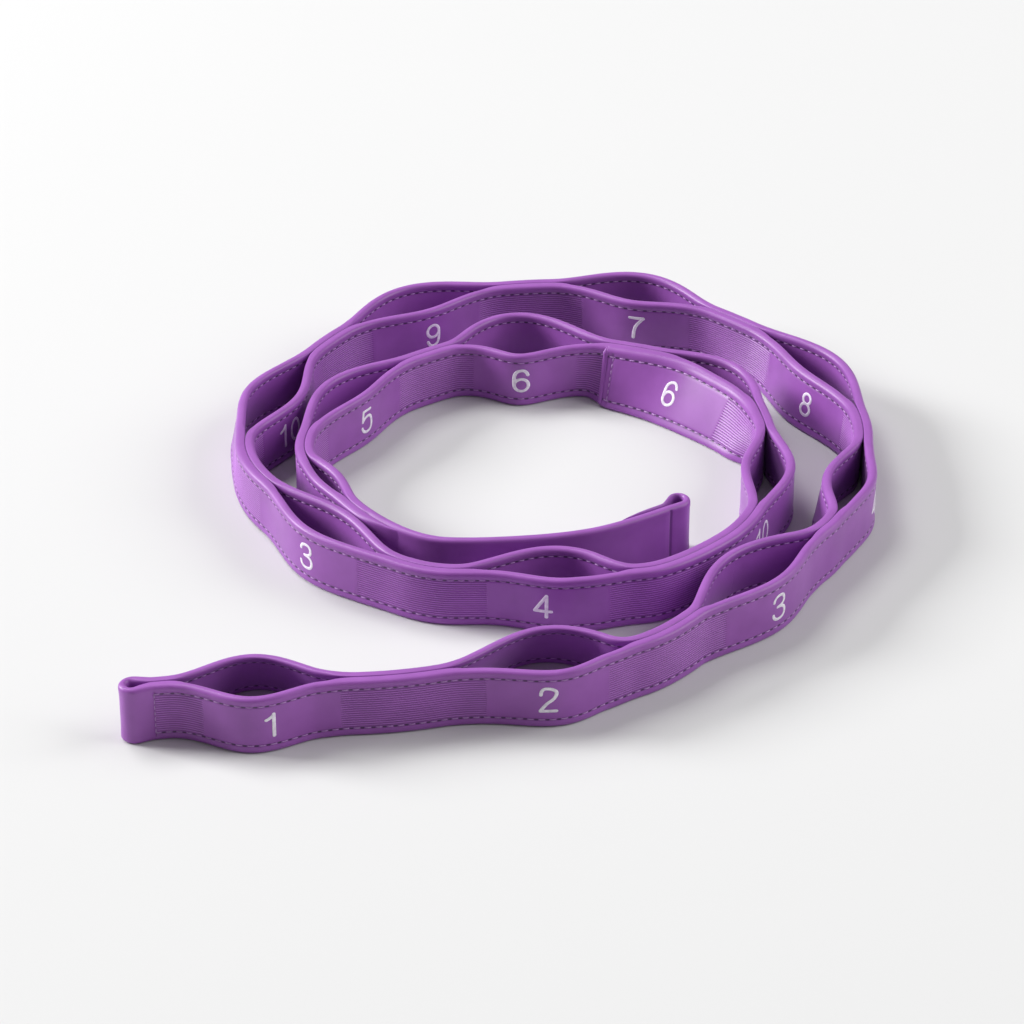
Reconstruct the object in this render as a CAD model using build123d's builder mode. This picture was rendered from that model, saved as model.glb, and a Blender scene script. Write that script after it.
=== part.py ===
from build123d import *
from math import floor, pi, sin
import os

# A looped stretching strap. Two padded bands run side by side and are sewn together at intervals, so
# that between the sewn joins they bow apart into hand and foot loops. The strap stands on its edge,
# coiled rather more than twice round, with its outer end trailing at the front. X is to the right,
# Y is away from the front, Z is up, and the origin is on the floor under the middle of the coil.

# Driving dimensions, in millimetres
strap_height = 38.0
band_thickness = 6.0
seam_gap = 0.3
sewn_length = 6.0
hinge_clearance = 0.3
band_stations = 19

# The rounded eyelet that finishes each end of the strap, measured from the end's sewn line
eyelet_radius = 8.2
eyelet_reach = 10.8
eyelet_hole_radius = 3.4
eyelet_hole_reach = 11.3
eyelet_tip = 0.6
eyelet_tip_radius = 0.3

# The plain tail at the inner end, and the part of it that is turned back and sewn down
turn_back_thickness = 4.0
turn_back_start = 36.0

# The raised strap end that laps over a join, where two lengths of strap are spliced
lap_thickness = 2.0
lap_reach = 18.0

# Centre of the sewn strap seen from above, from the outer end to the inner end of the coil. These are
# the control points of a smooth quadratic curve, which passes close inside each of them. A place
# along the strap is a number: 0 at the first point, 1 beside the second point, and so on.
route = [
    (-210, -238), (-165, -231), (-66, -235), (22, -201), (83, -199), (150, -104), (199, -64),
    (210, -7), (228, 52), (204, 135), (148, 194), (86, 239), (10, 243), (-69, 223), (-126, 165),
    (-156, 96), (-179, 21), (-125, -54), (-57, -124), (16, -107), (73, -121), (107, -103),
    (147, -62), (161, 1), (162, 62), (142, 128), (84, 153), (0, 176), (-55, 150), (-112, 104),
    (-139, 28), (-117, -9), (-97, -50), (-59, -85), (-24, -88), (32, -82), (68, -69), (97, -50),
]
last = len(route) - 1

# Places of the sewn joins, where the two bands are stitched to each other
joins = [0, 2, 4, 6, 8, 10, 12, 14, 16, 18, 21, 24, 26, 28, 30, 32]

# Each hand loop: the places where its bands part and meet again, how wide it opens, and how far the
# foot of its outer and of its inner band stands out from under the top edge, away from the coil's
# middle. Negative is towards the middle. The last number shifts the widest point: 1 leaves it halfway,
# less than 1 brings it nearer to where the bands part, and more than 1 nearer to where they meet.
loops = [
    (0.15, 1.75, 37.0, 0.0, -22.0, 1.0),
    (2.25, 3.85, 40.0, 0.0, -21.0, 1.0),
    (4.38, 5.85, 33.0, 0.0, -4.0, 0.74),
    (6.10, 7.80, 21.0, 0.0, -6.0, 1.0),
    (8.20, 9.80, 21.5, 0.0, -8.0, 1.0),
    (10.20, 11.80, 32.5, 0.0, 0.0, 1.0),
    (12.20, 13.80, 29.5, 0.0, 0.0, 1.0),
    (14.20, 15.80, 27.5, 8.0, 0.0, 1.0),
    (16.45, 17.80, 23.0, 0.0, 0.0, 1.0),
    (18.30, 20.10, 29.5, 0.0, 0.0, 1.0),
    (22.20, 23.90, 22.0, 0.0, 0.0, 1.0),
    (24.20, 25.80, 13.5, 0.0, -26.0, 1.0),
    (26.20, 27.80, 49.5, 0.0, 0.0, 1.0),
    (28.20, 29.80, 22.0, 0.0, 0.0, 1.0),
    (30.20, 31.80, 8.0, 0.0, 0.0, 1.0),
]

# The joins where the strap bends freely: three in the trailing end, and the start of the plain tail
trailing_hinges = (1, 2, 3)
tail_hinge = 15

half_stack = band_thickness + seam_gap / 2
band_offset = (band_thickness + seam_gap) / 2
hinge_room = half_stack + hinge_clearance


def along(place):
    """Point of the strap's centreline at a place, and its slope per unit of place."""
    if place < 1.5:
        middle, share, span = 1, place / 1.5, 1.5
    elif place > last - 1.5:
        middle, share, span = last - 1, (place - (last - 1.5)) / 1.5, 1.5
    else:
        middle = floor(place + 0.5)
        share, span = place - middle + 0.5, 1.0
    here = Vector(*route[middle])
    start = Vector(*route[0]) if middle == 1 else (Vector(*route[middle - 1]) + here) / 2
    end = Vector(*route[last]) if middle == last - 1 else (Vector(*route[middle + 1]) + here) / 2
    point = start * (1 - share) ** 2 + here * (2 * share * (1 - share)) + end * share**2
    slope = ((here - start) * (1 - share) + (end - here) * share) * (2 / span)
    return point, slope


def direction(place):
    """Unit vector along the strap, towards its inner end."""
    return along(place)[1].normalized()


def outward(place):
    """Unit vector across the strap, towards the outside of the coil."""
    ahead = direction(place)
    return Vector(ahead.Y, -ahead.X)


def moved(place, distance):
    """The place that lies a short distance further along the strap."""
    return place + distance / along(place)[1].length


def across(place, offset):
    """Point beside the centreline, offset towards the outside of the coil."""
    return along(place)[0] + outward(place) * offset


def even(start, end, count):
    """Evenly spaced places from start to end."""
    return [start + (end - start) * i / (count - 1) for i in range(count)]


def strip_sides(start, end, offset_at, thickness, count):
    """The two long sides of a strip that follows the strap at a varying offset."""
    places = even(start, end, count)
    middle = [across(place, offset_at(place)) for place in places]
    inner_side = []
    outer_side = []
    for i, place in enumerate(places):
        if i in (0, count - 1):
            normal = outward(place)
        else:
            chord = (middle[i + 1] - middle[i - 1]).normalized()
            normal = Vector(chord.Y, -chord.X)
        inner_side.append(middle[i] - normal * (thickness / 2))
        outer_side.append(middle[i] + normal * (thickness / 2))
    return inner_side, outer_side


def draw_strip(inner_side, outer_side):
    """Draws a strip's closed outline in the current line."""
    Spline(*inner_side)
    Spline(*outer_side)
    Line(inner_side[0], outer_side[0])
    Line(inner_side[-1], outer_side[-1])


def finish(piece, name):
    """Labels a finished piece and writes it out."""
    piece.label = name
    export_step(piece, f"parts/{name}.step")
    print(f"{name}: {piece.volume / 1000:.1f} cm3")


def opening(place, loop):
    """How far the loop's bands stand apart at a place."""
    parted, met, width, shift = *loop[:3], loop[5]
    if not parted < place < met:
        return 0.0
    return width * sin(pi * ((place - parted) / (met - parted)) ** shift) ** 2


def make_band(name, start, end, loop, side, foot_lean):
    """One band of one loop, from sewn join to sewn join; its foot may stand out from its top."""

    def top_offset(place):
        return side * (band_offset + opening(place, loop) / 2)

    def foot_offset(place):
        return top_offset(place) + foot_lean * sin(pi * (place - start) / (end - start))

    with BuildPart() as band:
        with BuildSketch():
            with BuildLine():
                draw_strip(*strip_sides(start, end, foot_offset, band_thickness, band_stations))
            make_face()
        if foot_lean:
            with BuildSketch(Plane.XY.offset(strap_height)):
                with BuildLine():
                    draw_strip(*strip_sides(start, end, top_offset, band_thickness, band_stations))
                make_face()
            loft(ruled=True)
        else:
            extrude(amount=strap_height)
    finish(band.part, name)


def make_layer(name, start, end, near, far, count):
    """A single layer of strap between two offsets from the centreline."""
    with BuildPart() as layer:
        with BuildSketch():
            with BuildLine():
                draw_strip(*strip_sides(start, end, lambda place: (near + far) / 2, far - near, count))
            make_face()
        extrude(amount=strap_height)
    finish(layer.part, name)


def make_sewn_block(name, start, end):
    """The short length where both bands are stitched into one thickness."""
    corners = [
        across(start, -half_stack), across(end, -half_stack),
        across(end, half_stack), across(start, half_stack),
    ]
    with BuildPart() as block:
        with BuildSketch():
            with BuildLine():
                Polyline(*corners, close=True)
            make_face()
        extrude(amount=strap_height)
    finish(block.part, name)


def make_knuckle(name, place, heading):
    """A sewn join that the next length bends about: a half round end, centred on the bend line."""
    centre = along(place)[0]
    tip = centre + direction(place) * (heading * half_stack)
    with BuildPart() as knuckle:
        with BuildSketch():
            with BuildLine():
                ThreePointArc(across(place, half_stack), tip, across(place, -half_stack))
                Line(across(place, half_stack), across(place, -half_stack))
            make_face()
        extrude(amount=strap_height)
    finish(knuckle.part, name)


def make_eyelet(name, place, heading, low, high, centre_offset):
    """The folded end of the strap: a teardrop eyelet that grows out of the layers low to high."""
    base = across(place, centre_offset)
    ahead = direction(place) * heading
    outer_centre = base + ahead * eyelet_reach
    hole_centre = base + ahead * eyelet_hole_reach
    hole_tip = across(place, (low + high) / 2) + ahead * eyelet_tip
    with BuildPart() as eyelet:
        with BuildSketch():
            with BuildLine():
                Line(across(place, low), across(place, high))
                CenterArc(outer_centre, eyelet_radius, 0, 360)
            make_hull()
        extrude(amount=strap_height)
        with BuildSketch():
            with BuildLine():
                CenterArc(hole_centre, eyelet_hole_radius, 0, 360)
                CenterArc(hole_tip, eyelet_tip_radius, 0, 360)
            make_hull()
        extrude(amount=strap_height, mode=Mode.SUBTRACT)
    finish(eyelet.part, name)


os.makedirs("parts", exist_ok=True)

# Where each loop's bands begin and end. A band starts at the face of the sewn join before it. Before
# a hinge it stops short of the knuckle, with a sewn block between, and after a hinge it starts at the
# flat of the knuckle.
for number, loop in enumerate(loops, start=1):
    before, after = joins[number - 1], joins[number]
    start = before if number - 1 in trailing_hinges else moved(before, sewn_length / 2)
    end = moved(after, -sewn_length / 2)
    if number == 1:
        start = moved(before, sewn_length)
    if number in trailing_hinges:
        end = moved(after, -hinge_room - sewn_length)
    if number == tail_hinge:
        end = after
    make_band(f"outer_band_{number:02d}", start, end, loop, 1, loop[3])
    make_band(f"inner_band_{number:02d}", start, end, loop, -1, loop[4])

for number, place in enumerate(joins):
    name = f"sewn_join_{number:02d}"
    if number == 0:
        make_sewn_block(name, place, moved(place, sewn_length))
    elif number in trailing_hinges:
        make_knuckle(name, place, -1)
        face = moved(place, -hinge_room)
        make_sewn_block(f"sewn_edge_{number:02d}", moved(place, -hinge_room - sewn_length), face)
    elif number == tail_hinge:
        make_knuckle(name, place, 1)
    else:
        make_sewn_block(name, moved(place, -sewn_length / 2), moved(place, sewn_length / 2))

# The two eyelets, the plain tail and its turned-back end
tail_start = moved(joins[tail_hinge], hinge_room)
tail_face = -seam_gap / 2
turn_back_face = -half_stack - seam_gap
turn_back_rear = turn_back_face - turn_back_thickness
make_eyelet("outer_end_eyelet", 0, -1, -half_stack, half_stack, 0)
make_layer("plain_tail", tail_start, last, -half_stack, tail_face, band_stations)
make_layer("turned_back_tail_end", turn_back_start, last, turn_back_rear, turn_back_face, 9)
make_eyelet("inner_end_eyelet", last, 1, turn_back_rear, tail_face, tail_face - eyelet_radius)

# The lapped strap end of the splice, on the inner face of the strap
splice = joins[12]
lap_face = -half_stack - seam_gap
lap_start, lap_end = moved(splice, -sewn_length / 2), moved(splice, lap_reach)
make_layer("splice_lap", lap_start, lap_end, lap_face - lap_thickness, lap_face, 5)

for number in trailing_hinges + (tail_hinge,):
    centre = along(joins[number])[0]
    print(f"bend line {number}: x {centre.X:.2f}, y {centre.Y:.2f}")
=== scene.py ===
"""A looped stretching strap, coiled on its edge: two padded bands, sewn together at intervals."""

from math import ceil, pi, radians

import bpy
import numpy as np
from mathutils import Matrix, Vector


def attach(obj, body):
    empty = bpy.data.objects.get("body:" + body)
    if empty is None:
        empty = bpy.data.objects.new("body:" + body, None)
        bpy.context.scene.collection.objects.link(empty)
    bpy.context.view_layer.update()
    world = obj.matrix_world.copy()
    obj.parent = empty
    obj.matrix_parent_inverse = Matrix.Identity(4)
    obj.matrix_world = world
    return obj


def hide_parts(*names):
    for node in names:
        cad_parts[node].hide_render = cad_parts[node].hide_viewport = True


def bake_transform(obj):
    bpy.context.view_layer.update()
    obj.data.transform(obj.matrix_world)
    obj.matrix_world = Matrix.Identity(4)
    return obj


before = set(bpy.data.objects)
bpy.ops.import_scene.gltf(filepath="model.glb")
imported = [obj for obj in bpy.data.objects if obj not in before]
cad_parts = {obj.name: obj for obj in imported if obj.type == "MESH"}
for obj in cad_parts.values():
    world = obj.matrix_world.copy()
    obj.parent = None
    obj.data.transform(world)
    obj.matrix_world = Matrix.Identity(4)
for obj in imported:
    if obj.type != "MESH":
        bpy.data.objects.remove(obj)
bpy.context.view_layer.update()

# ---------------------------------------------------------------- the design, in millimetres

MM = 0.001
strap_height = 38.0
half_thickness = 3.0
band_offset = 3.15

# Control points of the sewn strap's centreline, from its outer to its inner end. A place along the
# strap is a number: 0 at the first point, 1 beside the second point, and so on.
route = np.array([
    (-210, -238), (-165, -231), (-66, -235), (22, -201), (83, -199), (150, -104), (199, -64),
    (210, -7), (228, 52), (204, 135), (148, 194), (86, 239), (10, 243), (-69, 223), (-126, 165),
    (-156, 96), (-179, 21), (-125, -54), (-57, -124), (16, -107), (73, -121), (107, -103),
    (147, -62), (161, 1), (162, 62), (142, 128), (84, 153), (0, 176), (-55, 150), (-112, 104),
    (-139, 28), (-117, -9), (-97, -50), (-59, -85), (-24, -88), (32, -82), (68, -69), (97, -50),
], float)
last = len(route) - 1.0

# Opening from which two bands count as parted
parted_from = 4.0

# Places of the sewn joins
joins = [0, 2, 4, 6, 8, 10, 12, 14, 16, 18, 21, 24, 26, 28, 30, 32]
tail_join = joins[-1]

# Each loop: where its bands part and meet, how wide it opens, a shift of its widest point (below 1 is
# nearer to where they part), how far the feet of its outer and its inner band stand out to the
# strip's left from under their tops, and the number printed on it
loops = [
    (0.15, 1.75, 37.0, 1.0, 0.0, 22.0, "1"),
    (2.25, 3.85, 40.0, 1.0, 0.0, 21.0, "2"),
    (4.38, 5.85, 33.0, 0.74, 0.0, 4.0, "3"),
    (6.10, 7.80, 21.0, 1.0, 0.0, 6.0, "4"),
    (8.20, 9.80, 21.5, 1.0, 0.0, 8.0, "8"),
    (10.20, 11.80, 32.5, 1.0, 0.0, 0.0, "7"),
    (12.20, 13.80, 29.5, 1.0, 0.0, 0.0, "9"),
    (14.20, 15.80, 27.5, 1.0, 8.0, 0.0, "10"),
    (16.45, 17.80, 23.0, 1.0, 0.0, 0.0, "3"),
    (18.30, 20.10, 29.5, 1.0, 0.0, 0.0, "4"),
    (22.20, 23.90, 22.0, 1.0, 0.0, 0.0, "10"),
    (24.20, 25.80, 13.5, 1.0, 0.0, 26.0, "6"),
    (26.20, 27.80, 49.5, 1.0, 0.0, 0.0, "6"),
    (28.20, 29.80, 22.0, 1.0, 0.0, 0.0, "5"),
    (30.20, 31.80, 8.0, 1.0, 0.0, 0.0, ""),
]

# The widest lean runs on past its join, and is fuller than the others
full_lean_loop = 11
full_lean_end = 26.4
full_lean_power = 0.75

# How many samples each line of feet is smoothed over. The widest lean's is smoother, fully so from
# this lean on.
lean_smoothing = 12
foot_smoothing = 45
eased_lean = 14.0

# Where the number stands in each loop, as a place, and the loops that have it on their inner face
number_places = [
    1.12, 2.94, 4.91, 6.95, 8.80, 10.91, 12.97, 15.21, 17.13, 19.06, 22.18, 25.48, 26.99, 29.03, 31,
]
numbers_inside = (4, 5, 6, 7, 11, 12, 13)

# The stretches of ribbed weave, one over each sewn join. Between them the bands are smooth.
ribbed = [
    (0.03, 0.50), (1.65, 2.53), (3.52, 4.53), (5.60, 6.45), (7.60, 8.33), (9.46, 10.41),
    (11.50, 12.45), (13.55, 14.45), (15.55, 16.45), (17.53, 18.54), (19.75, 21.60), (23.45, 24.59),
    (26.22, 26.48), (27.55, 28.45), (29.55, 30.45), (31.60, 32.40),
]

# The sewn joins whose outer band is smooth all over
smooth_outside = (3,)

# The folded ends: how far ahead of the end's sewn line the fold's centre is, and the radius and half
# the turn of its middle line. Behind the tail the strip is turned back, as a thinner layer.
fold_ahead = 10.9
fold_radius = 5.8
fold_half_thickness = 2.4
fold_half_turn = pi / 2 + 0.25
fold_samples = 40
inner_fold_left = 8.35
turned_back_start = 36.0
turned_back_offset = 7.75
turned_back_half = 1.3

# The outer band runs a little past the last sewn join and thins out against the tail, and so does the
# turned back layer: how long the taper is, its last half thickness, and how far its tip sinks into the
# tail and below the tail's edges
outer_band_end = 32.75
outer_taper = 34.0
back_taper = 32.0
taper_half = 0.3
taper_sink = 1.4
taper_inset = 1.7

# The lapped splice on the inner face: its place, where it thins out, and its raised edge
splice_place = 26.225
splice_taper_end = 25.0
splice_thickness = 1.6
lap_step = 0.8
lap_full_length = 20.0
ridge_half_width = 1.5
ridge_half_height = 1.1
ridge_rounding = 2.2

# The band's section: a rounded rim, a stitched groove, and a panel that may be ribbed
rim_reach = 2.7
rim_roundness = 2.3
joined_roundness = 7.0
joined_half = 3.13
stitch_row = 5.5
panel_start = 6.7
rib_count = 16
rib_depth = 0.38
rib_fade = 0.6
rib_sharpness = 1.6

stitch_pitch = 6.4
stitch_length = 4.2
stitch_radius = 0.38
stitch_taper = 0.85
stitch_rise = 0.26
stitch_dive = 0.66
stitch_fade = 2.0
upright_pitch = 4.0
upright_length = 2.9
upright_count = 7
seam_depth = 0.5
seam_width = 0.8
rear_seam_depth = 1.4
# How strongly painted shade darkens the rear seam's groove, for its depth
rear_seam_shade = 1.6

numeral_half_width = 1.08
numeral_tall = 0.93
numeral_half_height = 0.14


def smooth_curve(controls, place):
    """Points of the clamped quadratic curve with these control points, at an array of places."""
    end = len(controls) - 1.0
    middle = np.clip(np.floor(place + 0.5), 1, end - 1).astype(int)
    low = np.where(middle == 1, 0.0, middle - 0.5)
    high = np.where(middle == end - 1, end, middle + 0.5)
    share = ((place - low) / (high - low))[:, None]
    here = controls[middle]
    start = np.where((middle == 1)[:, None], controls[0], (controls[middle - 1] + here) / 2)
    stop = np.where((middle == end - 1)[:, None], controls[-1], (controls[middle + 1] + here) / 2)
    return start * (1 - share) ** 2 + here * 2 * share * (1 - share) + stop * share**2


def heading(points):
    """Unit direction of travel at each point of a line."""
    ahead = np.gradient(points, axis=0)
    return ahead / np.linalg.norm(ahead, axis=1)[:, None]


def left_of(ahead):
    """The directions turned a quarter turn to the left."""
    return np.stack([-ahead[:, 1], ahead[:, 0]], 1)


# ---------------------------------------------------------------- the strap as one long strip

# The strap is one strip. It starts at the inner end of the outer band, comes back along the outer
# band to the outer end, folds round there, follows the inner band and the tail, and folds round again.
# Its left side is the strap's outside all the way. A run is a number that grows along it.

def on_outer(place):
    """The run of a place on the outer band."""
    return -1.0 - place


def on_inner(place):
    """The run of a place on the inner band or the tail."""
    return 1.0 + place


inner_fold = (on_inner(last), on_inner(last) + 2)


def band_line(place, column):
    """Top and foot line of a band, along places in the order of travel. The band is to their left."""
    centre = smooth_curve(route, place)
    left = left_of(heading(centre))
    out = band_offset + opening_at(place) / 2
    stands_out = np.zeros(len(place))
    for number, loop in enumerate(loops):
        first, second, power = joins[number], joins[number + 1], 1.0
        if number == full_lean_loop:
            second, power = full_lean_end, full_lean_power
        share = np.clip((place - first) / (second - first), 0, 1)
        stands_out += loop[column] * np.abs(np.sin(pi * share)) ** power
    top = centre + left * out[:, None]
    foot = top + left * smoothed(stands_out[:, None], lean_smoothing)
    eased = smoothed(foot, foot_smoothing)
    in_full_lean = (place > joins[full_lean_loop]) & (place < full_lean_end)
    weight = smooth_step(stands_out * in_full_lean, 0, eased_lean)[:, None]
    return top, foot + (eased - foot) * weight


def fold_line(place, sign, centre_left, side):
    """Middle line of a folded end.

    The sign is the direction of travel along the strap, and side is 1 if the line starts on the left.
    """
    near = smooth_curve(route, np.clip([place - 0.01, place + 0.01, place], 0, last))
    ahead = sign * (near[1] - near[0]) / np.linalg.norm(near[1] - near[0])
    left = np.array([-ahead[1], ahead[0]])
    centre = near[2] + ahead * fold_ahead + left * centre_left
    angle = side * np.linspace(fold_half_turn, -fold_half_turn, fold_samples)
    return centre + fold_radius * (np.outer(np.cos(angle), ahead) + np.outer(np.sin(angle), left))


def opening_at(place):
    """How far the two bands stand apart at each place."""
    found = np.zeros(len(place))
    for parted, met, width, shift, *_ in loops:
        share = np.clip((place - parted) / (met - parted), 0, 1)
        found += width * np.sin(pi * share**shift) ** 2
    return found


def smoothed(table, spread):
    """The columns of a table, each smoothed over a few rows, with its ends kept in place."""
    reach = int(3 * spread)
    weight = np.exp(-0.5 * (np.arange(-reach, reach + 1) / spread) ** 2)
    weight /= weight.sum()
    padded = np.pad(table, ((reach, reach), (0, 0)), mode="reflect", reflect_type="odd")
    return np.column_stack([np.convolve(column, weight, mode="valid") for column in padded.T])


def smooth_step(value, start, end):
    """0 before start, 1 after end, and a smooth rise between."""
    share = np.clip((value - start) / (end - start), 0, 1)
    return share * share * (3 - 2 * share)


def whole_strip(spacing=0.5, smoothing=1.6):
    """The strip, sampled evenly: length, run, top, foot, half thickness, share apart, left and inset."""
    outer_places = np.linspace(outer_band_end, 0, 3200)
    inner_places = np.linspace(0, last, 3700)
    back_places = np.linspace(last, turned_back_start, 270)
    outer_top, outer_foot = band_line(outer_places, 4)
    inner_top, inner_foot = band_line(inner_places, 5)
    outer_fold = fold_line(0.0, -1, 0.0, 1)
    tail_fold = fold_line(last, 1, inner_fold_left, -1)
    back_centre = smooth_curve(route, back_places)
    back = back_centre - left_of(heading(back_centre)) * turned_back_offset
    top = np.concatenate([outer_top, outer_fold, inner_top, tail_fold, back])
    foot = np.concatenate([outer_foot, outer_fold, inner_foot, tail_fold, back])
    run = np.concatenate([
        on_outer(outer_places), np.linspace(-0.99, 0.99, len(outer_fold)), on_inner(inner_places),
        np.linspace(inner_fold[0] + 0.01, inner_fold[1] - 0.01, len(tail_fold)),
        inner_fold[1] + last - back_places,
    ])
    half = np.interp(
        run,
        [-1.0, -0.6, 0.6, 1.0, inner_fold[0], inner_fold[0] + 0.4, inner_fold[1]],
        [half_thickness, fold_half_thickness, fold_half_thickness, half_thickness,
         half_thickness, fold_half_thickness, turned_back_half],
    )
    single = (np.abs(run) < 1) | (run > on_inner(tail_join) + 0.1)
    apart = np.where(single, 1.0, smooth_step(opening_at(np.abs(run) - 1), 0.0, parted_from))
    table = np.column_stack([run, top, foot, half, apart])
    length = np.concatenate([[0], np.cumsum(np.linalg.norm(np.diff((top + foot) / 2, axis=0), axis=1))])
    even = np.arange(0, length[-1], spacing)
    table = np.column_stack([np.interp(even, length, column) for column in table.T])
    table[:, 1:5] = smoothed(table[:, 1:5], smoothing / spacing)
    left = left_of(heading((table[:, 1:3] + table[:, 3:5]) / 2))
    inset = np.zeros(len(even))
    for from_end, side, length in ((even, -1, outer_taper), (even[-1] - even, 1, back_taper)):
        thin = (1 - smooth_step(from_end, 0, length)) * (table[:, 5] - taper_half)
        table[:, 5] -= thin
        thin += taper_sink * (1 - smooth_step(from_end, 0, length / 3))
        table[:, 1:5] += side * np.tile(left * thin[:, None], 2)
        inset += taper_inset * (1 - smooth_step(from_end, 0, 0.7 * length))
    return np.column_stack([even, table, left, inset])


strip = whole_strip()


def length_at(run):
    """Distance along the strip at a run."""
    return float(np.interp(run, strip[:, 1], strip[:, 0]))


def on_strip(length, height, out):
    """Points of the strip in metres: at a distance along it, a height, and out to its left."""
    length, height, out = np.broadcast_arrays(length, height, out)
    column = [np.interp(length, strip[:, 0], strip[:, k]) for k in (2, 3, 4, 5, 8, 9, 10)]
    rise = height / strap_height
    x = column[2] + (column[0] - column[2]) * rise + column[4] * out
    y = column[3] + (column[1] - column[3]) * rise + column[5] * out
    inset_height = column[6] + height - 2 * column[6] * rise
    return np.stack([x, y, inset_height], -1) * MM


# ---------------------------------------------------------------- the band's surface

def ribbed_stretches():
    """Where each ribbed stretch of either band starts and ends, as distances along the strip."""
    ends = []
    for number, (first, second) in enumerate(ribbed):
        ends.append((length_at(on_inner(first)), length_at(on_inner(second))))
        if number not in smooth_outside:
            ends.append((length_at(on_outer(second)), length_at(on_outer(first))))
    return ends


def ribs_at(length):
    """1 where the strip is ribbed, and 0 where it is smooth."""
    found = np.zeros(np.shape(length))
    for low, high in ribbed_stretches():
        rise = smooth_step(length, low - rib_fade, low + rib_fade)
        found = np.maximum(found, rise * smooth_step(-length, -high - rib_fade, -high + rib_fade))
    return found


sewn_from = length_at(on_outer(0.0))
sewn_to = length_at(on_inner(0.0))
tail_from = length_at(on_inner(tail_join))
tail_seam = length_at(inner_fold[0])
splice = length_at(on_inner(splice_place))
splice_fade = length_at(on_inner(splice_taper_end))

# The upright sewn lines: before the outer fold, beside the splice, and before the inner fold
front_seam = sewn_from - 1.5
splice_seam = splice - 5.0
back_seam = tail_seam


def stitched_at(length):
    """1 where the strip has rows of stitches along its edges, and 0 where it is plain."""
    before = smooth_step(-length, -sewn_from, stitch_fade - sewn_from)
    before *= smooth_step(length, outer_taper - 2 * stitch_fade, outer_taper)
    after = smooth_step(length, sewn_to, sewn_to + stitch_fade)
    after *= smooth_step(-length, -tail_from, stitch_fade - tail_from)
    return np.maximum(before, after)


def lap_at(length):
    """How much thicker the lapped splice makes the strip's outer face."""
    rise = smooth_step(-length, -splice, -splice + lap_step)
    fade = smooth_step(length, splice_fade, splice - lap_full_length)
    return splice_thickness * rise * fade


def sink(edge, stitched):
    """How far the face lies below its rim, at a distance from the nearer edge."""
    steps = [rim_reach, 3.4, 4.2, 4.9, stitch_row, 5.9, 6.5, 7.4]
    sewn = np.interp(edge, steps, [0.0, 0.05, 0.20, 0.46, 0.72, 0.62, 0.42, 0.36])
    plain = 0.30 * smooth_step(edge, rim_reach, 9.0)
    return plain + (sewn - plain) * stitched


def face_out(length, height, stitched=None):
    """Distance of the outer face's smooth surface from the strip's middle."""
    edge = np.minimum(height, strap_height - height)
    half = np.interp(length, strip[:, 0], strip[:, 6])
    sewn = stitched_at(length) if stitched is None else stitched
    rim = np.clip(1 - edge / rim_reach, 0, 1)
    round_rim = (1 - rim**rim_roundness) ** (1 / rim_roundness)
    return (half + lap_at(length)) * round_rim - sink(edge, sewn)


def section_heights():
    """Heights up the section's outer face, close together at the rims and over the ribs."""
    turn = np.linspace(0, pi / 2, 9)[1:]
    rim = rim_reach * (1 - np.cos(turn) ** 0.9)
    border = np.array([3.4, 4.2, 4.9, 5.3, stitch_row, 5.9, 6.4])
    panel = np.linspace(panel_start, strap_height - panel_start, 6 * rib_count + 1)
    low = np.concatenate([rim, border])
    return low, panel


def panel_ribs(height, sign):
    """How near a valley (sign 1) or a crest (sign -1) of the ribs a height on the panel is."""
    across = (height - panel_start) / (strap_height - 2 * panel_start)
    inside = (across >= 0) & (across <= 1)
    wave = 0.5 + sign * 0.5 * np.cos(2 * pi * rib_count * across)
    return np.where(inside, wave**rib_sharpness, 0.0)


# The stations of a mesh along the strip: the most turn between two, how far apart they may be, and how
# near to an end, to a change of the surface and to a cap
station_turn = radians(7)
station_spacing = (0.7, 3.0)
station_margin = 0.4
station_gap = 0.35
cap_gap = 0.1


def stations(start, end, extra):
    """Distances along the strip, closer together where it turns sharply, with the extra ones added."""
    within = (strip[:, 0] >= start) & (strip[:, 0] <= end)
    length = strip[within, 0]
    turn = np.abs(np.gradient(np.unwrap(np.arctan2(strip[within, 9], strip[within, 8])), length))
    spacing = np.clip(station_turn / np.maximum(turn, 1e-6), *station_spacing)
    count = np.concatenate([[0], np.cumsum(np.diff(length) / spacing[1:])])
    steps = max(2, ceil(count[-1]))
    even = np.interp(np.linspace(0, count[-1], steps + 1), count, length)
    low, high = start + station_margin, end - station_margin
    added = [value for value in extra if low < value < high]
    kept = [value for value in even[1:-1] if all(abs(value - other) > station_gap for other in added)]
    kept = [value for value in kept if low < value < high]
    return np.array(sorted([start, start + cap_gap, end - cap_gap, end] + added + kept))


def feature_lengths():
    """Distances along the strip at which its surface changes."""
    found = [splice + step * lap_step for step in (-1, -0.5, 0, 0.5)]
    for ends in ribbed_stretches():
        found += [end + step for end in ends for step in (-rib_fade, 0.0, rib_fade)]
    for seam in (front_seam, back_seam, splice_seam):
        found += [seam + step * seam_width for step in (-2, -1, 0, 1, 2)]
    return found


def seam_dents(length, seams):
    """Depth of the upright sewn grooves."""
    return sum(seam_depth * np.exp(-(((length - seam) / seam_width) ** 2)) for seam in seams)


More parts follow.
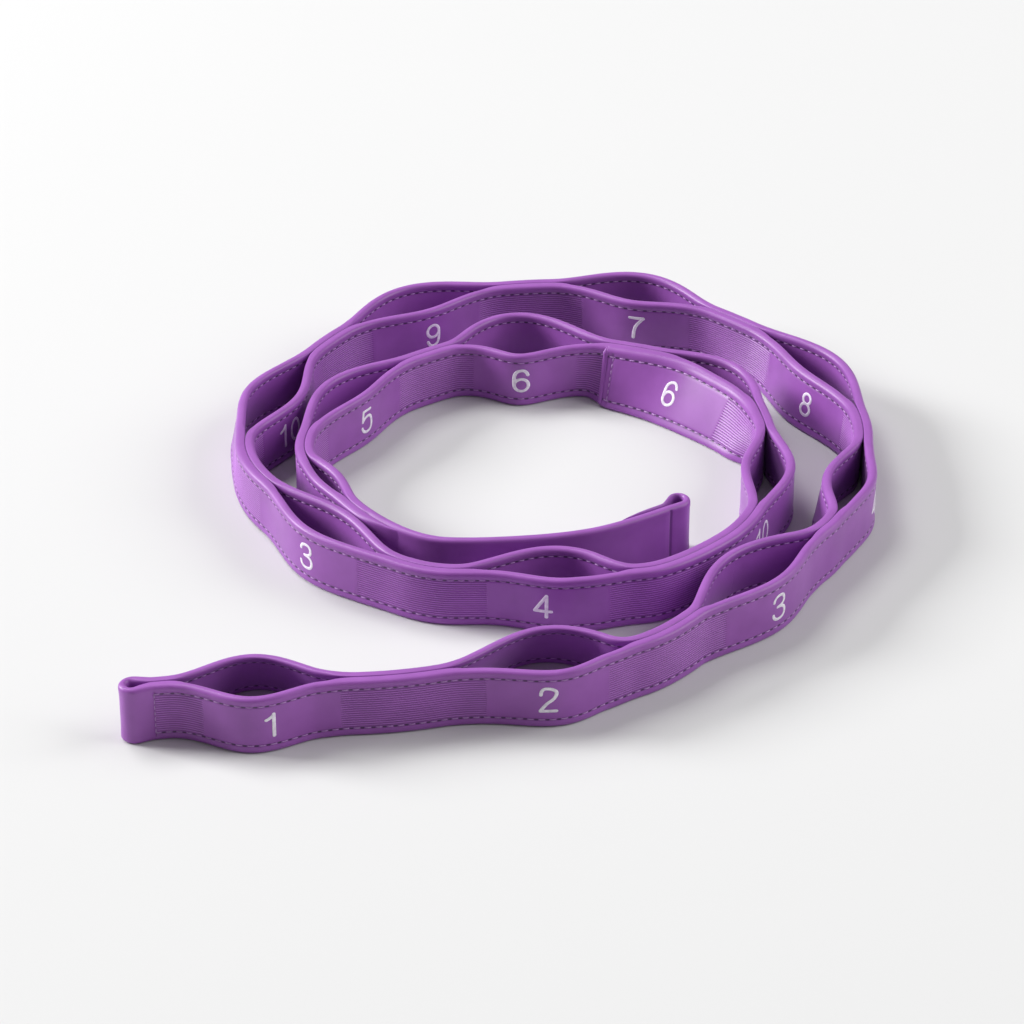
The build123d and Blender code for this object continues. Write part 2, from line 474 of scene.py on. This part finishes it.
def band_points(length):
    """The rings of points of a stretch of the strip, and at each point where it is on the band.

    The second table has the distance along the strip, the distance from the nearer edge, whether the
    edges are stitched there, and the painted shade at the point, which grows with how deep in a valley
    of the ribs or in a groove it is and is below 0, a painted highlight, on the crests of the ribs.
    """
    low, panel = section_heights()
    up = np.concatenate([low, panel, strap_height - low[::-1]])
    middle = [panel_start, strap_height / 2, strap_height - panel_start]
    back = np.concatenate([low[:-1], middle, strap_height - low[-2::-1]])[::-1]
    row, height, behind = length[:, None], up[None, :], back[None, :]
    stitched = stitched_at(row)
    valley = ribs_at(row) * panel_ribs(height, 1)
    crest = ribs_at(row) * panel_ribs(height, -1)
    inner_part = (height > rim_reach) & (height < strap_height - rim_reach)
    dent = seam_dents(row, (front_seam, splice_seam)) * inner_part
    front = face_out(row, height, stitched) - valley * rib_depth - dent
    half = np.interp(row, strip[:, 0], strip[:, 6])
    apart = np.interp(row, strip[:, 0], strip[:, 7])
    edge = np.minimum(behind, strap_height - behind)
    power = joined_roundness + (rim_roundness - joined_roundness) * apart
    round_rim = (1 - np.clip(1 - edge / rim_reach, 0, 1) ** power) ** (1 / power)
    half = half + (joined_half - half_thickness) * (1 - apart)
    rear_dent = rear_seam_depth * seam_dents(row, (back_seam,)) * (edge > rim_reach / 2)
    rear = half * round_rim - sink(edge, stitched) * apart - rear_dent
    rings = [
        on_strip(row, np.zeros((1, 1)), 0.0), on_strip(row, height, front),
        on_strip(row, np.full((1, 1), strap_height), 0.0), on_strip(row, behind, -rear),
    ]
    points = np.concatenate(rings, axis=1)
    nothing = np.zeros((len(length), 1))
    # Painted shade in the rib valleys and the sewn grooves, and painted highlight, below 0, on the rib
    # crests
    dark = np.concatenate([nothing, valley + dent - crest, nothing, rear_seam_shade * rear_dent], axis=1)
    edges = np.concatenate([[0.0], np.minimum(up, strap_height - up), [0.0], edge[0]])
    shape = dark.shape
    marks = [np.broadcast_to(row, shape), np.broadcast_to(edges, shape), np.broadcast_to(stitched, shape)]
    return points, np.stack(marks + [dark], -1)


# ---------------------------------------------------------------- meshes

def tube_faces(rings, sides, count=1, base=0):
    """Faces of closed tubes that each have this many rings, with both ends capped."""
    ring = np.arange(rings - 1)[:, None] * sides
    here = ring + np.arange(sides)[None, :]
    beside = ring + (np.arange(sides)[None, :] + 1) % sides
    quads = np.stack([here, beside, sides + beside, sides + here], -1).reshape(-1, 4)
    faces = []
    for tube in range(count):
        first = base + tube * rings * sides
        faces += (quads + first).tolist()
        faces.append(list(range(first + sides - 1, first - 1, -1)))
        faces.append(list(range(first + (rings - 1) * sides, first + rings * sides)))
    return faces


def make_piece(name, points, faces, material, marks=None):
    """A smooth mesh piece. Its end caps stay flat, so that they don't round the ends' shading."""
    mesh = bpy.data.meshes.new(name)
    mesh.from_pydata(points.reshape(-1, 3).tolist(), [], faces)
    mesh.update()
    mesh.polygons.foreach_set("use_smooth", [len(face) < 5 for face in faces])
    if marks is not None:
        place = mesh.attributes.new("place_on_band", "FLOAT_VECTOR", "POINT")
        place.data.foreach_set("vector", marks[..., :3].astype(np.float32).ravel())
        # The groove attribute carries painted shade, and painted highlight where it is below 0
        dark = mesh.attributes.new("groove", "FLOAT", "POINT")
        dark.data.foreach_set("value", marks[..., 3].astype(np.float32).ravel())
    mesh.materials.append(material)
    piece = bpy.data.objects.new(name, mesh)
    bpy.context.scene.collection.objects.link(piece)
    return piece


stitch_along = np.linspace(-1, 1, 7)
stitch_around = np.arange(6) * pi / 3


def stitch_tubes(middle, height, side, upright=False):
    """Stitches at these distances along the strip and heights, lying along it or upright."""
    middle, height = np.broadcast_arrays(middle, height)
    along = stitch_along[None, :, None]
    around = stitch_around[None, None, :]
    thin = np.sqrt(1 - stitch_taper * along**4) * stitch_radius
    base = face_out(middle, height) - seam_dents(middle, (front_seam, splice_seam)) * upright
    if side < 0:
        base = base - lap_at(middle)
    rise = stitch_rise - stitch_dive * np.abs(along) ** 3
    out = base[:, None, None] + rise + thin * np.sin(around)
    reach = (upright_length if upright else stitch_length) / 2 * along
    across = thin * np.cos(around)
    first, second = (across, reach) if upright else (reach, across)
    length = middle[:, None, None] + first
    up = height[:, None, None] + second
    return on_strip(length, up, side * out)


def make_stitches(name, start, end, material):
    """The stitches of a stretch of the strip: along both edges of both faces, and the upright rows."""
    middle = (np.arange(int(start / stitch_pitch), int(end / stitch_pitch) + 2) + 0.5) * stitch_pitch
    middle = middle[(middle >= start) & (middle < end)]
    middle = middle[stitched_at(middle) > 0.9]
    tubes = [
        stitch_tubes(middle, height, side)
        for height in (stitch_row, strap_height - stitch_row) for side in (1, -1)
    ]
    heights = strap_height / 2 + (np.arange(upright_count) - (upright_count - 1) / 2) * upright_pitch
    for seam in (front_seam, splice_seam):
        if start <= seam < end:
            tubes.append(stitch_tubes(np.full(upright_count, seam), heights, 1, upright=True))
    points = np.concatenate(tubes)
    if not len(points):
        return None
    return make_piece(name, points, tube_faces(*points.shape[1:3], len(points)), material)


def make_ridge(name, material):
    """The raised upright edge of the lapped splice."""
    height = np.concatenate([[0.5], np.linspace(1.2, strap_height - 1.2, 24), [strap_height - 0.5]])
    edge = np.minimum(height, strap_height - height)
    swell = np.sqrt(np.clip(edge / 2.0, 0.1, 1.0))[:, None]
    around = np.linspace(0, 2 * pi, 15)[None, :-1]
    flat_height = np.clip(height, ridge_rounding, strap_height - ridge_rounding)
    base = face_out(np.full(len(height), splice - 1.0), flat_height)
    base *= np.clip(edge / ridge_rounding, 0.55, 1.0)
    out = base[:, None] + ridge_half_height * swell * np.sin(around)
    points = on_strip(splice + ridge_half_width * swell * np.cos(around), height[:, None], out)
    return make_piece(name, points, tube_faces(*points.shape[:2]), material)


# ---------------------------------------------------------------- numerals

def ring(x, y, width, height):
    """A closed oval stroke."""
    angle = np.linspace(0, 2 * pi, 41)
    return np.column_stack([x + width * np.cos(angle), y + height * np.sin(angle)])


def stroke(*controls):
    """A smooth stroke through the plane of a numeral."""
    if len(controls) == 2:
        return np.linspace(controls[0], controls[1], 12)
    return smooth_curve(np.array(controls, float), np.linspace(0, len(controls) - 1, 28))


six = [ring(0, 5.9, 4.2, 4.8), stroke((-4.2, 6), (-4.4, 12.5), (-2.6, 17.2), (2.6, 18.2), (3.9, 14.0))]
strokes = {
    "0": [ring(0, 9.1, 4.2, 8.0)],
    "1": [stroke((0.9, 17.2), (0.9, 1.1)), stroke((0.9, 17.0), (-0.4, 14.6), (-3.4, 13.3))],
    "2": [stroke((-4.2, 13.4), (-4.0, 17.9), (1.2, 18.3), (5.2, 15.8), (3.4, 10.2), (-1.5, 6.6),
                 (-4.4, 1.3)),
          stroke((-4.4, 1.2), (4.5, 1.2))],
    "3": [stroke((-4.0, 14.2), (-3.4, 17.9), (4.6, 18.4), (4.6, 10.2), (-0.9, 9.7)),
          stroke((-0.9, 9.7), (5.3, 9.8), (5.2, 0.4), (-3.9, 0.2), (-4.4, 4.4))],
    "4": [stroke((2.2, 17.2), (-4.8, 5.6)), stroke((-4.8, 5.4), (5.0, 5.4)),
          stroke((2.2, 17.2), (2.2, 1.1))],
    "5": [stroke((3.9, 17.0), (-2.9, 17.0)), stroke((-2.9, 17.0), (-3.8, 9.6)),
          stroke((-3.8, 9.2), (-1.6, 12.4), (4.9, 12.2), (5.0, 0.6), (-3.2, -0.2), (-4.4, 4.4))],
    "6": six,
    "7": [stroke((-4.4, 17.0), (4.4, 17.0)), stroke((4.4, 16.8), (0.4, 12.4), (-1.6, 7.0), (-1.8, 1.1))],
    "8": [ring(0, 13.4, 3.5, 3.7), ring(0, 5.4, 4.2, 4.3)],
    "9": [np.array([0, 18.2]) - line for line in six],
}
numeral_height = 18.2
digit_step = 11.5


def stroke_tube(line, length, height, squash):
    """A flat printed stroke with rounded ends, on the strip's outer face."""
    ahead = heading(line)
    cap = np.sin(np.linspace(-pi / 2, 0, 5))[:-1] * numeral_half_width * 0.96
    before = line[0] + ahead[0] * cap[:, None]
    after = line[-1] - ahead[-1] * cap[::-1, None]
    path = np.concatenate([before, line, after])
    ahead = np.concatenate([np.repeat(ahead[:1], len(cap), 0), ahead, np.repeat(ahead[-1:], len(cap), 0)])
    scale = np.ones(len(path))
    scale[:len(cap)] = np.sqrt(1 - (cap / numeral_half_width) ** 2)
    scale[-len(cap):] = scale[:len(cap)][::-1]
    beside = left_of(ahead)
    around = np.arange(8) * pi / 4
    wide = scale[:, None] * numeral_half_width * np.cos(around)
    x = path[:, 0, None] + beside[:, 0, None] * wide
    y = path[:, 1, None] + beside[:, 1, None] * wide
    base = face_out(length - x, strap_height / 2)
    out = base + np.sin(around)[None, :] * numeral_half_height * np.sqrt(scale)[:, None]
    return on_strip(length - x, height + y * squash, out)


def make_numeral(name, text, run, material):
    """A number printed on the outer face at a run. It reads against the strip's direction."""
    length = length_at(run)
    lean = np.interp(length, strip[:, 0], np.hypot(strip[:, 2] - strip[:, 4], strip[:, 3] - strip[:, 5]))
    squash = numeral_tall * strap_height / np.hypot(strap_height, lean)
    foot = (strap_height - numeral_height * squash) / 2
    points, faces, total = [], [], 0
    for place, digit in enumerate(text):
        shift = (place - (len(text) - 1) / 2) * digit_step
        for line in strokes[digit]:
            tube = stroke_tube(line + [shift, 0], length, foot, squash)
            faces += tube_faces(*tube.shape[:2], base=total)
            points.append(tube.reshape(-1, 3))
            total += len(points[-1])
    return make_piece(name, np.concatenate(points), faces, material)


# ---------------------------------------------------------------- materials

def shader(name, roughness, sheen=0.0):
    """A new material, with its nodes and its main shader."""
    material = bpy.data.materials.new(name)
    material.use_nodes = True
    nodes = material.node_tree.nodes
    main = nodes["Principled BSDF"]
    main.inputs["Roughness"].default_value = roughness
    main.inputs["Sheen Weight"].default_value = sheen
    main.inputs["Specular IOR Level"].default_value = 0.5
    return material, nodes, material.node_tree.links, main


def noise(nodes, links, scale, detail):
    """A noise pattern fixed to the object, with this many features to the metre."""
    place = nodes.new("ShaderNodeTexCoord")
    texture = nodes.new("ShaderNodeTexNoise")
    texture.inputs["Scale"].default_value = scale
    texture.inputs["Detail"].default_value = detail
    links.new(place.outputs["Object"], texture.inputs["Vector"])
    return texture.outputs["Fac"]


def ramp(nodes, links, value, *stops):
    """A colour ramp over a value: each stop is a position and a colour."""
    node = nodes.new("ShaderNodeValToRGB")
    band = node.color_ramp
    while len(band.elements) < len(stops):
        band.elements.new(0.5)
    for element, (position, colour) in zip(band.elements, stops):
        element.position = position
        element.color = (*colour, 1.0)
    links.new(value, node.inputs["Fac"])
    return node.outputs["Color"]


def calculate(nodes, links, operation, *values):
    """One step of arithmetic on numbers or on outputs of other nodes."""
    node = nodes.new("ShaderNodeMath")
    node.operation = operation
    for socket, value in zip(node.inputs, values):
        if isinstance(value, (int, float)):
            socket.default_value = value
        else:
            links.new(value, socket)
    return node.outputs["Value"]


def fade(nodes, links, value, start, end):
    """1 up to start and 0 from end, with a smooth fall between."""
    node = nodes.new("ShaderNodeMapRange")
    node.interpolation_type = "SMOOTHSTEP"
    links.new(value, node.inputs["Value"])
    node.inputs["From Min"].default_value = start
    node.inputs["From Max"].default_value = end
    node.inputs["To Min"].default_value = 1.0
    node.inputs["To Max"].default_value = 0.0
    return node.outputs["Result"]


def attribute(nodes, name):
    """A node that reads one of the mesh's own attributes."""
    node = nodes.new("ShaderNodeAttribute")
    node.attribute_name = name
    return node


def mixed(nodes, links, share, first, second):
    """The first colour, mixed with a share of the second, which is the same everywhere."""
    mix = nodes.new("ShaderNodeMix")
    mix.data_type = "RGBA"
    links.new(share, mix.inputs["Factor"])
    links.new(first, mix.inputs["A"])
    mix.inputs["B"].default_value = (*second, 1.0)
    return mix.outputs["Result"]


def painted_band_shade(nodes, links, groove):
    """Painted shade of the band at a point: in the needle holes, along the sewn groove, and in the rib
    valleys.
    """
    place = attribute(nodes, "place_on_band")
    parts = nodes.new("ShaderNodeSeparateXYZ")
    links.new(place.outputs["Vector"], parts.inputs["Vector"])
    length, edge, stitched = (parts.outputs[axis] for axis in "XYZ")
    turns = calculate(nodes, links, "MULTIPLY_ADD", length, 1 / stitch_pitch, 0.5)
    share = calculate(nodes, links, "FRACT", turns)
    beside = calculate(nodes, links, "ABSOLUTE", calculate(nodes, links, "SUBTRACT", share, 0.5))
    above = calculate(nodes, links, "ABSOLUTE", calculate(nodes, links, "SUBTRACT", edge, stitch_row))
    hole = calculate(
        nodes, links, "MULTIPLY",
        fade(nodes, links, beside, *(reach / stitch_pitch for reach in hole_along)),
        fade(nodes, links, above, *hole_across),
    )
    line = calculate(nodes, links, "MULTIPLY", fade(nodes, links, above, *line_across), groove_line_shade)
    sewn = calculate(nodes, links, "MULTIPLY", calculate(nodes, links, "MAXIMUM", hole, line), stitched)
    ribs = calculate(nodes, links, "MULTIPLY", groove, rib_valley_shade)
    return calculate(nodes, links, "MINIMUM", calculate(nodes, links, "MAXIMUM", sewn, ribs), 0.9)


def fabric_material():
    """Dense smooth strap fabric with a fine grain; painted shade in its grooves, painted highlight on its
    ribs.
    """
    material, nodes, links, main = shader("strap_fabric", 0.42, 0.10)
    mottle = noise(nodes, links, 60, 3)
    colour = ramp(nodes, links, mottle, (0.3, fabric_dark), (0.7, fabric_light))
    groove = attribute(nodes, "groove").outputs["Fac"]
    # Painted highlight on the rib crests, where the groove mark is below 0
    crest = calculate(nodes, links, "MULTIPLY", groove, -crest_highlight_strength)
    # Painted shade in the needle holes, along the sewn groove and in the rib valleys
    colour = mixed(nodes, links, painted_band_shade(nodes, links, groove), colour, painted_shade_colour)
    colour = mixed(nodes, links, crest, colour, crest_highlight_colour)
    links.new(colour, main.inputs["Base Color"])
    grain = noise(nodes, links, 2600, 2)
    bump = nodes.new("ShaderNodeBump")
    bump.inputs["Strength"].default_value = 0.25
    bump.inputs["Distance"].default_value = 0.0001
    links.new(grain, bump.inputs["Height"])
    links.new(bump.outputs["Normal"], main.inputs["Normal"])
    return material


def thread_material():
    """Sewing thread, lighter than the strap."""
    material, nodes, links, main = shader("thread", 0.45, 0.2)
    twist = noise(nodes, links, 900, 2)
    links.new(ramp(nodes, links, twist, (0.3, thread_dark), (0.7, thread_light)), main.inputs["Base Color"])
    return material


def print_material():
    """Pale heat-pressed print."""
    material, nodes, links, main = shader("print", 0.55)
    wear = noise(nodes, links, 400, 4)
    links.new(ramp(nodes, links, wear, (0.35, print_worn), (0.6, print_full)), main.inputs["Base Color"])
    return material


def floor_material():
    """A pale matt studio floor."""
    material, nodes, links, main = shader("floor", 0.9)
    cloud = noise(nodes, links, 1.5, 2)
    links.new(ramp(nodes, links, cloud, (0.0, floor_dark), (1.0, floor_light)), main.inputs["Base Color"])
    return material


fabric_dark = (0.274, 0.074, 0.372)
fabric_light = (0.314, 0.087, 0.424)
# Painted highlight on the crests of the ribs: its colour and strength
crest_highlight_colour = (0.60, 0.24, 0.76)
crest_highlight_strength = 0.46
# Painted shade: its colour, its strength along the sewn groove and in the rib valleys, and its extent in
# the needle holes and along the groove
painted_shade_colour = (0.040, 0.008, 0.065)
groove_line_shade = 0.30
rib_valley_shade = 0.52
hole_along = (0.7, 1.5)
hole_across = (0.3, 0.95)
line_across = (0.2, 1.3)
thread_dark = (0.36, 0.16, 0.45)
thread_light = (0.50, 0.28, 0.60)
print_worn = (0.74, 0.68, 0.80)
print_full = (0.90, 0.86, 0.94)
floor_dark = (0.635, 0.635, 0.635)
floor_light = (0.65, 0.65, 0.65)

fabric = fabric_material()
thread = thread_material()
printed = print_material()

# ---------------------------------------------------------------- the pieces and what they ride on


def carry(piece, bodies):
    """Makes a piece ride on one body; a piece between two is left where it is, with its transform baked in.
    """
    if len(bodies) == 1:
        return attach(piece, bodies[0])
    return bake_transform(piece)


def nodes_of(prefix, numbers):
    """Names of the numbered CAD nodes."""
    return [f"{prefix}_{number:02d}" for number in numbers]


# Each stretch of the strip: name, first and last run, bodies, the place of a sewn join, which is not used,
# and its CAD nodes
stretches = [
    ("end_loop_band", on_outer(1), on_inner(1), ("end_loop",), 0,
     ["outer_end_eyelet", "sewn_join_00", "outer_band_01", "inner_band_01"]),
    ("outer_band_bend_1", on_outer(3), on_outer(1), ("end_loop", "second_loop"), 2,
     ["outer_band_02", "sewn_join_01"]),
    ("inner_band_bend_1", on_inner(1), on_inner(3), ("end_loop", "second_loop"), 2,
     ["inner_band_02", "sewn_edge_01"]),
    ("outer_band_bend_2", on_outer(5), on_outer(3), ("second_loop", "third_loop"), 4,
     ["outer_band_03", "sewn_join_02"]),
    ("inner_band_bend_2", on_inner(3), on_inner(5), ("second_loop", "third_loop"), 4,
     ["inner_band_03", "sewn_edge_02"]),
    ("outer_band_bend_3", on_outer(7), on_outer(5), ("third_loop", "coil"), 6,
     ["outer_band_04", "sewn_join_03"]),
    ("inner_band_bend_3", on_inner(5), on_inner(7), ("third_loop", "coil"), 6,
     ["inner_band_04", "sewn_edge_03"]),
    ("tail_join_band", strip[0, 1], on_outer(31), ("coil", "plain_end"), 32, ["sewn_join_15"]),
    ("outer_band_coil", on_outer(31), on_outer(7), ("coil",), 0,
     nodes_of("outer_band", range(5, 16)) + nodes_of("sewn_join", range(4, 15))),
    ("inner_band_coil", on_inner(7), on_inner(31), ("coil",), 0,
     nodes_of("inner_band", range(5, 16))),
    ("plain_end_band", on_inner(31), strip[-1, 1], ("coil", "plain_end"), 32,
     ["plain_tail", "turned_back_tail_end", "inner_end_eyelet"]),
]

ridge = make_ridge("splice_ridge", fabric)
carry(ridge, ("coil",))
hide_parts("splice_lap")

features = feature_lengths()
for name, first, second, bodies, place, stood_for in stretches:
    start, end = length_at(first), length_at(second)
    points, marks = band_points(stations(start, end, features))
    band = make_piece(name, points, tube_faces(*points.shape[:2]), fabric, marks)
    carry(band, bodies)
    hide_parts(*stood_for)
    seam = make_stitches(name.replace("band", "stitches"), start, end, thread)
    if seam is not None:
        carry(seam, bodies)
    for number, loop in enumerate(loops):
        run = (on_inner if number in numbers_inside else on_outer)(number_places[number])
        if loop[6] and start <= length_at(run) < end:
            digits = make_numeral(f"number_{number + 1:02d}", loop[6], run, printed)
            carry(digits, bodies)

# ---------------------------------------------------------------- floor, light and camera

bpy.ops.mesh.primitive_plane_add(size=14.0, location=(0, 0, 0))
floor = bpy.context.object
floor.name = "floor"
floor.data.materials.append(floor_material())


def area_light(name, place, aim, size, power):
    """A square soft light at a place, turned towards a point."""
    data = bpy.data.lights.new(name, "AREA")
    data.shape = "SQUARE"
    data.size = size
    data.energy = power
    lamp = bpy.data.objects.new(name, data)
    bpy.context.scene.collection.objects.link(lamp)
    lamp.location = place
    towards = np.array(aim, float) - np.array(place, float)
    lamp.rotation_euler = Vector(towards).to_track_quat("-Z", "Y").to_euler()
    return lamp


area_light("key", (-2.9, 2.9, 6.4), (0, 0, 0), 3.1, 264)
area_light("side", (-6.2, 1.6, 3.1), (0, 0, 0), 2.4, 620)
area_light("right", (4.3, 0.0, 3.0), (0, 0, 0), 3.6, 176)

world = bpy.data.worlds.new("studio")
bpy.context.scene.world = world
world.use_nodes = True
world.node_tree.nodes["Background"].inputs["Color"].default_value = (1.0, 1.0, 1.0, 1.0)
world.node_tree.nodes["Background"].inputs["Strength"].default_value = 0.21

camera_data = bpy.data.cameras.new("camera")
camera_data.sensor_width = 36.0
camera_data.lens = 140.6
camera = bpy.data.objects.new("camera", camera_data)
bpy.context.scene.collection.objects.link(camera)
camera.location = (-0.0013, -2.1437, 1.3441)
camera.rotation_euler = (radians(58.0), 0, 0)
bpy.context.scene.camera = camera
bpy.context.scene.view_settings.view_transform = "Standard"
